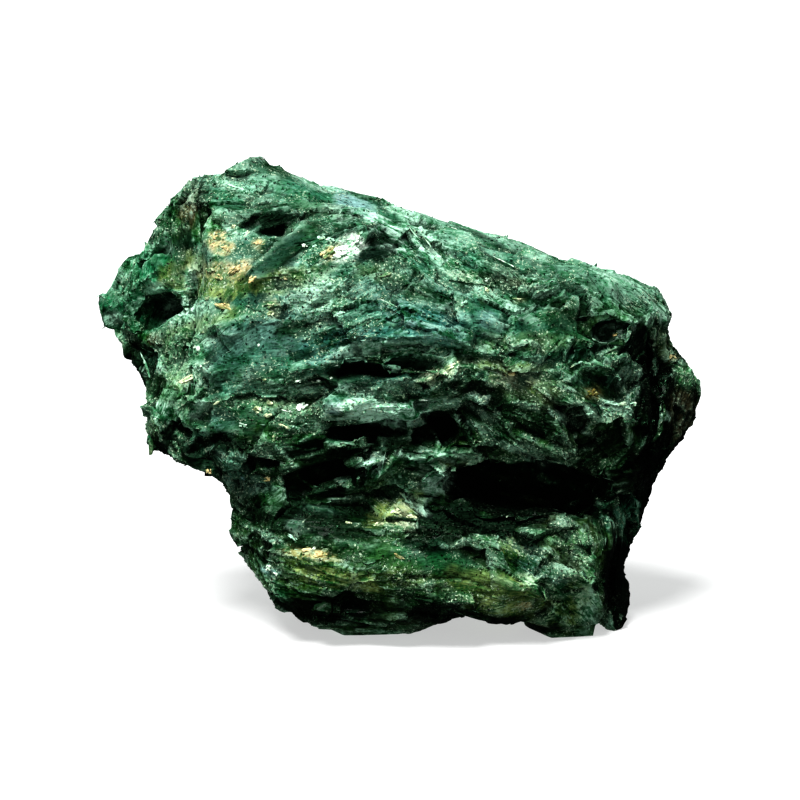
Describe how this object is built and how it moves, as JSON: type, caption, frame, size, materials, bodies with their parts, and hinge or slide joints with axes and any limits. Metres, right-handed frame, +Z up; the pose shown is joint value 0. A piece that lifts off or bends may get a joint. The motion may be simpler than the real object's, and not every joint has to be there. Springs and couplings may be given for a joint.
{
  "type": "rough tourmaline specimen",
  "caption": "Rough, broken lump of dark green bladed tourmaline with a slanting crest, stepped blades across its front, a jutting lower ledge and ragged ends, standing on low flat feet.",
  "frame": {"origin": "middle of the bounding box on the plane that the stone rests on", "axes": "+Z up from the resting plane, +X along the stone's length towards its lower, steep end, -Y towards the bladed front of the picture"},
  "size_m": [0.061, 0.0328, 0.0469],
  "materials": {
    "green_tourmaline": "dark green, fibrous and bladed, glittering on the blade faces, with small cream and ochre grains"
  },
  "bodies": {
    "root": {"tourmaline_stone": "green_tourmaline"}
  },
  "joints": []
}
